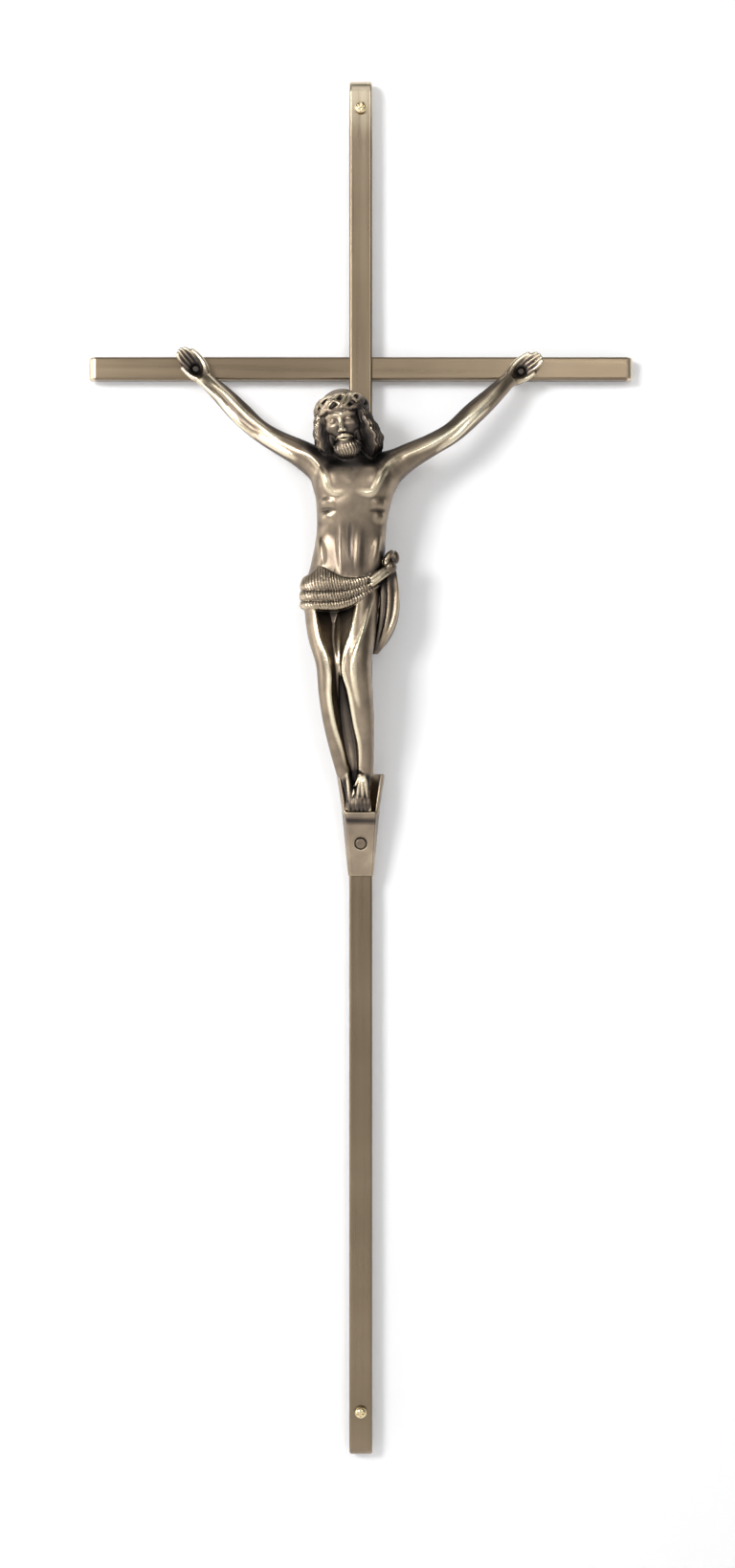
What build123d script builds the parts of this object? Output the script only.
"""A wall crucifix: two pressed brass channels, a cast figure, a foot bracket and its fasteners.

The back of the bars lies in the plane Y = 0 and the front faces -Y. +Z runs up the upright.
The origin is where the two bars cross, in the plane of their backs. Sizes are in millimetres.
"""

import os
from math import cos, radians, sin

from build123d import *

# Bars
upright_length = 552.4
crossing_below_top = 115.9
crossbar_length = 218.6
bar_width = 9.2
sheet = 1.2
crossbar_depth = 4.8
edge_radius = 1.0
upright_end_radius = 5.0
crossbar_end_radius = 3.0
notch_clearance = 0.1

# Stud and nut where the bars cross
stud_radius = 1.5
stud_chamfer = 0.3
stud_hole_clearance = 0.15
crossing_nut_flats = 5.5
crossing_nut_height = 2.4
nut_sides = 6
thread_clearance = 0.05

# Loose screws that fix the bar to a wall or a lid
fixing_top_inset = 11.9
fixing_bottom_inset = 18.1
fixing_head_radius = 2.45
fixing_head_height = 1.8
fixing_head_round = 1.4
fixing_neck_radius = 1.0
fixing_neck_length = 7.2
fixing_thread_radius = 1.25
fixing_thread_length = 6.4
fixing_point_length = 2.4
fixing_point_radius = 0.15
fixing_stand_off = 1.0
fixing_hole_clearance = 0.35
recess_width = 0.7
recess_span = 2.7
recess_depth = 0.9

# Rivets through the palms
rivet_radius = 0.9
rivet_head_radius = 1.5
rivet_head_height = 0.9
rivet_head_round = 0.6
rivet_tail_radius = 1.4
rivet_tail_height = 0.8
rivet_clearance = 0.05
palm_floor = 1.6
palm_recess_clearance = 0.7

# Foot bracket
bracket_height = 25.7
bracket_top_depth = 7.0
bracket_top_back_half = 7.6
bracket_top_front_half = 6.0
bracket_bottom_depth = 1.6
bracket_bottom_back_half = 5.2
bracket_bottom_front_half = 4.6
lip_height = 3.4
groove_height = 0.7
groove_depth = 0.5
cheek_height = 15.0
cheek_wall = 1.2
cheek_lean = 0.6
cheek_foot_half = 7.3
cheek_top_half = 9.7
cheek_foot_depth = 6.4
cheek_top_depth = 5.0
cheek_root = 1.0

# Tang of the figure, its screw and its nut
tang_width = 5.4
tang_thickness = 1.4
tang_below_screw = 4.0
tang_clearance = 0.1
heel_height = 6.0
heel_depth = 5.5
foot_screw_below_ledge = 12.6
foot_screw_radius = 1.25
foot_screw_head_radius = 2.1
foot_screw_head_height = 1.5
foot_screw_head_round = 0.5
foot_screw_seat = 3.0
foot_screw_end = 0.6
foot_screw_clearance = 0.15
foot_counterbore_clearance = 0.35
foot_slot_width = 0.6
foot_slot_depth = 0.7
foot_nut_flats = 5.0
foot_nut_height = 2.0
toe_clearance = 0.3

# Figure. Points are (across, in front of the upright's face, above the crossing)
joint_swell = 1.03
left_palm = (-66.0, 0.8, -0.7)
right_palm = (64.2, 0.8, -1.7)
palm_half_length = 5.6
palm_half_width = 4.8
palm_half_depth = 2.9
wrist_behind_palm = 5.4
wrist_ahead = 3.2
wrist_radius = 3.3
left_hand_angle = 128.0
right_hand_angle = 36.0
finger_reach = 9.0
finger_radius = 1.9
finger_spread = 2.0

left_arm = [
    ((-18.5, 12.5, -38.5), 6.2),
    ((-28.5, 11.5, -33.5), 4.8),
    ((-40.0, 9.5, -27.6), 4.2),
    ((-49.5, 7.5, -18.0), 4.8),
]
right_arm = [
    ((13.2, 12.5, -40.0), 6.2),
    ((24.0, 11.5, -34.5), 4.6),
    ((35.3, 9.5, -28.6), 4.2),
    ((46.0, 7.5, -19.0), 4.8),
]
left_leg = [
    ((-15.2, 12.5, -97.0), 7.4),
    ((-13.0, 18.6, -121.0), 4.4),
    ((-12.2, 16.0, -140.0), 3.7),
    ((-7.4, 8.6, -160.5), 2.8),
]
right_leg = [
    ((-0.8, 13.0, -97.0), 7.8),
    ((-2.2, 19.4, -121.0), 6.0),
    ((0.7, 15.6, -140.0), 4.5),
    ((2.3, 8.8, -160.5), 3.0),
]
left_foot = [((-6.2, 8.2, -162.0), 2.6), ((-1.4, 5.4, -174.3), 3.2)]
right_foot = [((2.2, 8.4, -162.0), 3.1), ((1.0, 6.6, -174.3), 3.2)]
skull = [((-7.4, 18.6, -21.6), 10.4), ((-6.2, 22.0, -30.0), 7.2)]
beard = [((-6.0, 24.0, -31.0), 4.6), ((-5.6, 25.4, -35.4), 2.2)]
nose = [((-7.0, 29.0, -22.8), 0.9), ((-6.6, 30.3, -27.0), 1.4)]
knot = [((11.2, 12.6, -82.0), 3.6), ((12.8, 13.6, -78.6), 3.0)]

crown_centre = (-6.9, 18.8, -17.4)
crown_radius = 9.8
crown_strand = 1.5
crown_tilt_forward = 14.0
crown_tilt_side = 8.0

# Level sections: (across, in front of the upright's face, height, half width, half depth)
torso_sections = [
    (-2.6, 13.0, -41.0, 12.0, 6.4),
    (-2.4, 13.6, -47.0, 16.8, 8.6),
    (-2.6, 14.2, -54.0, 15.4, 9.4),
    (-3.4, 13.2, -63.0, 14.0, 8.8),
    (-3.8, 12.4, -70.0, 13.8, 8.0),
    (-5.4, 12.4, -80.0, 14.4, 8.4),
    (-8.2, 12.4, -90.0, 14.4, 8.8),
    (-8.2, 12.6, -98.0, 13.6, 8.4),
]
cloth_sections = [
    (-6.6, 12.4, -82.6, 14.6, 9.2),
    (-8.2, 12.6, -88.0, 14.9, 9.9),
    (-8.4, 12.8, -94.0, 14.8, 10.0),
    (-8.4, 12.8, -98.6, 14.3, 9.4),
]
hair_sections = [
    (-7.4, 17.4, -13.4, 7.0, 6.6),
    (-6.8, 17.2, -18.0, 10.6, 9.2),
    (-6.2, 16.8, -25.0, 12.6, 9.8),
    (-5.2, 15.6, -33.0, 12.8, 8.8),
    (-4.6, 14.0, -41.5, 10.6, 6.6),
]
tail_sections = [
    (11.6, 11.6, -81.0, 4.4, 3.6),
    (11.6, 10.8, -90.0, 5.0, 3.6),
    (11.0, 10.0, -101.0, 5.0, 3.2),
    (8.0, 9.0, -110.0, 3.8, 2.6),
    (5.4, 8.4, -116.0, 1.6, 1.6),
]
web_sections = [
    (-7.6, 14.0, -119.0, 5.0, 1.6),
    (-5.4, 11.0, -142.0, 6.4, 1.4),
    (-2.4, 7.4, -160.0, 4.6, 1.4),
    (0.2, 5.4, -169.0, 3.6, 1.4),
]

# Places worked out from the sizes above
upright_depth = crossbar_depth + sheet
upright_face = -upright_depth
crossbar_face = -crossbar_depth
crossbar_inner_face = crossbar_face + sheet
upright_middle = crossing_below_top - upright_length / 2
top_screw_height = crossing_below_top - fixing_top_inset
bottom_screw_height = crossing_below_top - upright_length + fixing_bottom_inset
sole_height = left_foot[-1][0][2] - left_foot[-1][1] * joint_swell
ledge_height = sole_height - toe_clearance
foot_screw_height = ledge_height - foot_screw_below_ledge
foot_seat_face = upright_face - foot_screw_seat
rivet_seat_face = crossbar_face - palm_floor
front = (0, -1, 0)
rear = (0, 1, 0)

os.makedirs("parts", exist_ok=True)


def place(point):
    """Frame position of a point of the figure."""
    across, ahead, height = point
    return Vector(across, upright_face - ahead, height)


def channel_side(plane, length, depth, end_radius):
    """Side view of a bar: a long rectangle whose front corners are rolled back."""
    with BuildSketch(plane) as side:
        Rectangle(length, depth, align=(Align.CENTER, Align.MIN))
        fillet(side.vertices().group_by(Axis.Y)[-1], end_radius)
    return side.sketch


def wrist(palm, angle):
    """Last joint of an arm, just behind the palm in line with the hand."""
    across = palm[0] - wrist_behind_palm * cos(radians(angle))
    height = palm[2] - wrist_behind_palm * sin(radians(angle))
    return (across, wrist_ahead, height), wrist_radius


def limb_cones(joints):
    """Tapered cones between the joints of a limb, with a ball on every joint."""
    pieces = []
    for point, radius in joints:
        pieces.append(Pos(*place(point)) * Sphere(radius * joint_swell, mode=Mode.PRIVATE))
    for (start, start_radius), (end, end_radius) in zip(joints, joints[1:]):
        run = place(end) - place(start)
        first = Plane(origin=place(start), z_dir=run)
        last = Plane(origin=place(end), x_dir=first.x_dir, z_dir=run)
        with BuildSketch(first) as wide:
            Circle(start_radius)
        with BuildSketch(last) as narrow:
            Circle(end_radius)
        pieces.append(loft([wide.sketch, narrow.sketch], ruled=True, mode=Mode.PRIVATE))
    return pieces


def level_loft(sections):
    """A smooth body through level ellipses."""
    slices = []
    for across, ahead, height, half_width, half_depth in sections:
        with BuildSketch(Plane(origin=(across, upright_face - ahead, height))) as level:
            Ellipse(half_width, half_depth)
        slices.append(level.sketch)
    return loft(slices, mode=Mode.PRIVATE)


def hand_pieces(palm, angle):
    """A flattened palm with a slab of fingers that reaches on past it."""
    palm_place = Plane(origin=place(palm), x_dir=(cos(radians(angle)), 0, sin(radians(angle))), z_dir=front)
    ball = Sphere(1.0, mode=Mode.PRIVATE)
    flat_palm = scale(ball, (palm_half_length, palm_half_width, palm_half_depth), mode=Mode.PRIVATE)
    pieces = [palm_place * flat_palm]
    for side in (-1, 0, 1):
        root = palm_place.from_local_coords(Vector(palm_half_length / 2, side * finger_spread, 0))
        tip = palm_place.from_local_coords(Vector(finger_reach, side * finger_spread / 2, finger_radius))
        shaft = Plane(origin=root, z_dir=tip - root)
        finger = Cylinder(finger_radius, (tip - root).length, mode=Mode.PRIVATE,
                          align=(Align.CENTER, Align.CENTER, Align.MIN))
        pieces.append(shaft * finger)
        pieces.append(Pos(*tip) * Sphere(finger_radius * joint_swell, mode=Mode.PRIVATE))
    return pieces


# Upright: a channel open at the back, notched where the crossbar passes behind its face
upright_plane = Plane(origin=(0, 0, upright_middle), x_dir=(0, 0, 1), z_dir=(1, 0, 0))
with BuildPart() as upright:
    extrude(channel_side(upright_plane, upright_length, upright_depth, upright_end_radius),
            amount=bar_width / 2, both=True)
    upright_rims = upright.faces().filter_by(Axis.X).edges()
    fillet(upright_rims - upright_rims.group_by(Axis.Y)[-1], edge_radius)
    extrude(channel_side(upright_plane, upright_length - 2 * sheet, upright_depth - sheet,
                         upright_end_radius - sheet),
            amount=bar_width / 2 - sheet, both=True, mode=Mode.SUBTRACT)
    with Locations((0, 0, 0)):
        Box(2 * bar_width, 2 * crossbar_depth, bar_width + 2 * notch_clearance, mode=Mode.SUBTRACT)
    with Locations(*[Plane(origin=(0, upright_face, height), z_dir=front)
                     for height in (top_screw_height, bottom_screw_height)]):
        Hole(fixing_thread_radius + fixing_hole_clearance, depth=2 * sheet)
    with Locations(Plane(origin=(0, upright_face, foot_screw_height), z_dir=front)):
        Hole(foot_screw_radius + foot_screw_clearance, depth=2 * sheet)
upright.part.label = "upright"
export_step(upright.part, "parts/upright.step")

# Crossbar: the same channel, shallower by one sheet, so that its face lies behind the upright's
crossbar_plane = Plane(origin=(0, 0, 0), x_dir=(1, 0, 0), z_dir=(0, 0, -1))
with BuildPart() as crossbar:
    extrude(channel_side(crossbar_plane, crossbar_length, crossbar_depth, crossbar_end_radius),
            amount=bar_width / 2, both=True)
    crossbar_rims = crossbar.faces().filter_by(Axis.Z).edges()
    fillet(crossbar_rims - crossbar_rims.group_by(Axis.Y)[-1], edge_radius)
    extrude(channel_side(crossbar_plane, crossbar_length - 2 * sheet, crossbar_depth - sheet,
                         crossbar_end_radius - sheet),
            amount=bar_width / 2 - sheet, both=True, mode=Mode.SUBTRACT)
    with Locations(Plane(origin=(0, crossbar_face, 0), z_dir=front)):
        Hole(stud_radius + stud_hole_clearance, depth=2 * sheet)
    with Locations(*[Plane(origin=(palm[0], crossbar_face, palm[2]), z_dir=front)
                     for palm in (left_palm, right_palm)]):
        Hole(rivet_radius + rivet_clearance, depth=2 * sheet)
crossbar.part.label = "crossbar"
export_step(crossbar.part, "parts/crossbar.step")

# Stud on the inside of the upright's face; its end lies in the plane of the backs
with BuildPart(Plane(origin=(0, crossbar_face, 0), z_dir=rear)) as crossing_stud:
    Cylinder(stud_radius, crossbar_depth, align=(Align.CENTER, Align.CENTER, Align.MIN))
    chamfer(crossing_stud.faces().sort_by(Axis.Y)[-1].edges(), stud_chamfer)
crossing_stud.part.label = "crossing_stud"
export_step(crossing_stud.part, "parts/crossing_stud.step")


# Hexagon nuts inside the channels
nuts = {
    "crossing_nut": (crossbar_inner_face, 0, crossing_nut_flats, crossing_nut_height, stud_radius),
    "foot_nut": (crossbar_face, foot_screw_height, foot_nut_flats, foot_nut_height, foot_screw_radius),
}
for nut_name, (seat, height, flats, nut_height, thread_radius) in nuts.items():
    with BuildPart() as nut:
        with BuildSketch(Plane(origin=(0, seat, height), z_dir=rear)):
            RegularPolygon(flats / 2, nut_sides, major_radius=False)
            Circle(thread_radius + thread_clearance, mode=Mode.SUBTRACT)
        extrude(amount=nut_height)
    nut.part.label = nut_name
    export_step(nut.part, f"parts/{nut_name}.step")

# Round-headed wood screws, loose in their holes, with a cross recess
for screw_name, height in (("top_fixing_screw", top_screw_height), ("bottom_fixing_screw", bottom_screw_height)):
    with BuildPart(Plane(origin=(0, upright_face - fixing_stand_off, height), z_dir=front)) as fixing_screw:
        Cylinder(fixing_head_radius, fixing_head_height, align=(Align.CENTER, Align.CENTER, Align.MIN))
        fillet(fixing_screw.faces().sort_by(Axis.Y)[0].edges(), fixing_head_round)
        with Locations((0, 0, fixing_head_height)):
            Box(recess_span, recess_width, 2 * recess_depth, mode=Mode.SUBTRACT)
            Box(recess_width, recess_span, 2 * recess_depth, mode=Mode.SUBTRACT)
        Cylinder(fixing_neck_radius, fixing_neck_length, align=(Align.CENTER, Align.CENTER, Align.MAX))
        with Locations((0, 0, -fixing_neck_length)):
            Cylinder(fixing_thread_radius, fixing_thread_length, align=(Align.CENTER, Align.CENTER, Align.MAX))
        with Locations((0, 0, -fixing_neck_length - fixing_thread_length)):
            Cone(fixing_point_radius, fixing_thread_radius, fixing_point_length,
                 align=(Align.CENTER, Align.CENTER, Align.MAX))
    fixing_screw.part.label = screw_name
    export_step(fixing_screw.part, f"parts/{screw_name}.step")

# Rivets: domed head in the palm, shank through palm and crossbar, tail inside the channel
for rivet_name, palm in (("left_hand_rivet", left_palm), ("right_hand_rivet", right_palm)):
    with BuildPart(Plane(origin=(palm[0], rivet_seat_face, palm[2]), z_dir=front)) as rivet:
        Cylinder(rivet_head_radius, rivet_head_height, align=(Align.CENTER, Align.CENTER, Align.MIN))
        fillet(rivet.faces().sort_by(Axis.Y)[0].edges(), rivet_head_round)
        Cylinder(rivet_radius, palm_floor + sheet, align=(Align.CENTER, Align.CENTER, Align.MAX))
        with Locations((0, 0, -palm_floor - sheet)):
            Cylinder(rivet_tail_radius, rivet_tail_height, align=(Align.CENTER, Align.CENTER, Align.MAX))
    rivet.part.label = rivet_name
    export_step(rivet.part, f"parts/{rivet_name}.step")


def cheek_level(plane, half, depth):
    """Level section of the right cheek, whose inner face slopes back to the flat of the upright."""
    upright_flat_half = bar_width / 2 - edge_radius
    with BuildSketch(plane) as level:
        Polygon((half, 0), (half - cheek_lean, -depth), (half - cheek_lean - cheek_wall, -depth),
                (upright_flat_half, 0), align=None)
    return level.sketch


# Foot bracket: a tapered block with a grooved lip, and two cheeks that flare up round the feet
ledge_plane = Plane(origin=(0, upright_face, ledge_height))
bracket_base_plane = ledge_plane.offset(-bracket_height)
slope = (bracket_top_depth - bracket_bottom_depth) / bracket_height
groove_face = upright_face - bracket_top_depth + slope * lip_height
with BuildPart() as foot_bracket:
    with BuildSketch(ledge_plane):
        Polygon((-bracket_top_back_half, 0), (bracket_top_back_half, 0),
                (bracket_top_front_half, -bracket_top_depth), (-bracket_top_front_half, -bracket_top_depth),
                align=None)
    with BuildSketch(bracket_base_plane):
        Polygon((-bracket_bottom_back_half, 0), (bracket_bottom_back_half, 0),
                (bracket_bottom_front_half, -bracket_bottom_depth),
                (-bracket_bottom_front_half, -bracket_bottom_depth), align=None)
    loft(ruled=True)
    with Locations((0, groove_face, ledge_height - lip_height)):
        Box(2 * bracket_top_back_half, 2 * groove_depth, groove_height, mode=Mode.SUBTRACT)
    cheek_foot = cheek_level(ledge_plane.offset(-cheek_root), cheek_foot_half, cheek_foot_depth)
    cheek_top = cheek_level(ledge_plane.offset(cheek_height), cheek_top_half, cheek_top_depth)
    right_cheek = loft([cheek_foot, cheek_top], ruled=True)
    mirror(right_cheek, about=Plane.YZ)
    tang_drop = foot_screw_below_ledge + tang_below_screw + tang_clearance
    with Locations((0, upright_face, ledge_height)):
        Box(tang_width + 2 * tang_clearance, 2 * (tang_thickness + tang_clearance), 2 * tang_drop,
            mode=Mode.SUBTRACT)
    with Locations(Plane(origin=(0, foot_seat_face, foot_screw_height), z_dir=front)):
        Cylinder(foot_screw_head_radius + foot_counterbore_clearance, bracket_top_depth,
                 align=(Align.CENTER, Align.CENTER, Align.MIN), mode=Mode.SUBTRACT)
        Hole(foot_screw_radius + foot_screw_clearance, depth=foot_screw_seat)
foot_bracket.part.label = "foot_bracket"
export_step(foot_bracket.part, "parts/foot_bracket.step")

# Slotted screw through bracket, tang and upright, into the nut
foot_screw_length = foot_screw_seat + sheet + foot_nut_height + foot_screw_end
with BuildPart(Plane(origin=(0, foot_seat_face, foot_screw_height), z_dir=front)) as foot_screw:
    Cylinder(foot_screw_head_radius, foot_screw_head_height, align=(Align.CENTER, Align.CENTER, Align.MIN))
    fillet(foot_screw.faces().sort_by(Axis.Y)[0].edges(), foot_screw_head_round)
    with Locations((0, 0, foot_screw_head_height)):
        Box(foot_slot_width, 2 * foot_screw_head_radius, 2 * foot_slot_depth, mode=Mode.SUBTRACT)
    Cylinder(foot_screw_radius, foot_screw_length, align=(Align.CENTER, Align.CENTER, Align.MAX))
foot_screw.part.label = "foot_screw"
export_step(foot_screw.part, "parts/foot_screw.step")

# Figure: one casting, flat where the hands lie on the crossbar, with a tang behind the bracket
limbs = [
    left_arm + [wrist(left_palm, left_hand_angle)],
    right_arm + [wrist(right_palm, right_hand_angle)],
    left_leg,
    right_leg,
    left_foot,
    right_foot,
    skull,
    beard,
    nose,
    knot,
]
tang_foot = foot_screw_height - tang_below_screw
with BuildPart() as corpus:
    add(level_loft(torso_sections))
    for joints in limbs:
        for piece in limb_cones(joints):
            add(piece)
    for sections in (hair_sections, cloth_sections, tail_sections, web_sections):
        add(level_loft(sections))
    for palm, angle in ((left_palm, left_hand_angle), (right_palm, right_hand_angle)):
        for piece in hand_pieces(palm, angle):
            add(piece)
    with Locations(Pos(*place(crown_centre)) * Rot(crown_tilt_forward, crown_tilt_side, 0)):
        Torus(crown_radius, crown_strand)
    split(bisect_by=Plane(origin=(0, crossbar_face, 0), z_dir=front), keep=Keep.TOP)
    with Locations((0, upright_face, sole_height)):
        Box(tang_width, heel_depth, heel_height, align=(Align.CENTER, Align.MAX, Align.MIN))
    with Locations((0, upright_face, tang_foot)):
        Box(tang_width, tang_thickness, sole_height - tang_foot, align=(Align.CENTER, Align.MAX, Align.MIN))
    with Locations(Plane(origin=(0, upright_face - tang_thickness, foot_screw_height), z_dir=front)):
        Hole(foot_screw_radius + foot_screw_clearance, depth=tang_thickness)
    for palm in (left_palm, right_palm):
        with Locations(Plane(origin=(palm[0], rivet_seat_face, palm[2]), z_dir=front)):
            Cylinder(rivet_head_radius + palm_recess_clearance, 2 * palm_half_depth,
                     align=(Align.CENTER, Align.CENTER, Align.MIN), mode=Mode.SUBTRACT)
            Hole(rivet_radius + rivet_clearance, depth=palm_floor)
corpus.part.label = "corpus"
export_step(corpus.part, "parts/corpus.step")
